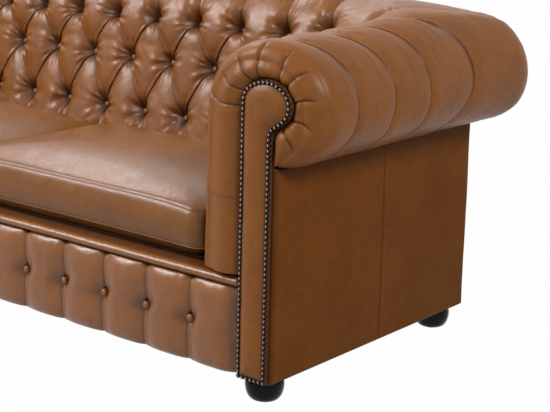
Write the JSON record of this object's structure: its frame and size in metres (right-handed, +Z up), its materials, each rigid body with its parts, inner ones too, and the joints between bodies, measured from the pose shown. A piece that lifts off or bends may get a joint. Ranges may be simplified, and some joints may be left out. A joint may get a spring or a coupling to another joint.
{
  "type": "chesterfield sofa",
  "caption": "Chesterfield sofa: deep-buttoned leather back and scroll arms of nearly one height, loose seat cushions, buttoned front border, nailed arm facings and bun feet.",
  "frame": {"origin": "on the floor under the middle of the sofa's overall box", "axes": "+X to the right arm as seen from the front, along the length; +Y to the back; +Z up; the front faces -Y"},
  "size_m": [2.196, 0.8604, 0.775],
  "materials": {
    "leather": "tan aniline leather, soft semi-gloss",
    "outside_leather": "tan leather stretched flat, semi-gloss",
    "cushion_leather": "tan leather, worn soft, semi-gloss",
    "nails": "dark antiqued bronze",
    "padding": "lining cloth on padding",
    "spring_steel": "drawn wire",
    "frame_wood": "planed beech",
    "dust_cloth": "black spun cloth",
    "black_lacquer": "turned wood, high-gloss black lacquer",
    "glide_plastic": "moulded"
  },
  "bodies": {
    "sofa_body": {"inside_back": "leather", "inside_arm_left": "leather", "inside_arm_right": "leather", "corner_button_left": "leather", "corner_button_right": "leather", "outside_back": "outside_leather", "outside_arm_left": "outside_leather", "outside_arm_right": "outside_leather", "front_border": "leather", "front_lip": "leather", "arm_facing_left": "leather", "arm_facing_right": "leather", "nail_trim_left": "nails", "nail_trim_right": "nails", "seat_deck": "padding", "spring_1": "spring_steel", "spring_2": "spring_steel", "spring_3": "spring_steel", "spring_4": "spring_steel", "spring_5": "spring_steel", "spring_6": "spring_steel", "spring_7": "spring_steel", "spring_8": "spring_steel", "front_rail": "frame_wood", "back_rail": "frame_wood", "centre_rail": "frame_wood", "side_rail_left": "frame_wood", "side_rail_right": "frame_wood", "arm_board_left": "frame_wood", "arm_board_right": "frame_wood", "back_post_left": "frame_wood", "back_post_right": "frame_wood", "corner_block_left": "frame_wood", "corner_block_right": "frame_wood", "arm_top_rail_left": "frame_wood", "arm_top_rail_right": "frame_wood", "arm_tack_rail_left": "frame_wood", "arm_tack_rail_right": "frame_wood", "back_top_rail": "frame_wood", "back_tack_rail": "frame_wood", "back_upright": "frame_wood", "dust_cover": "dust_cloth", "foot_front_left": "black_lacquer", "foot_front_right": "black_lacquer", "foot_rear_left": "black_lacquer", "foot_rear_right": "black_lacquer", "glide_front_left": "glide_plastic", "glide_front_right": "glide_plastic", "glide_rear_left": "glide_plastic", "glide_rear_right": "glide_plastic", "foot_stud_front_left": "spring_steel", "foot_stud_front_right": "spring_steel", "foot_stud_rear_left": "spring_steel", "foot_stud_rear_right": "spring_steel"},
    "left_cushion": {"cushion_left": "cushion_leather"},
    "right_cushion": {"cushion_right": "cushion_leather"}
  },
  "joints": [
    {"name": "left_cushion_lift", "type": "slide", "parent": "sofa_body", "child": "left_cushion", "axis": [0, 0, 1], "range_m": [0, 0.4]},
    {"name": "right_cushion_lift", "type": "slide", "parent": "sofa_body", "child": "right_cushion", "axis": [0, 0, 1], "range_m": [0, 0.4]}
  ]
}
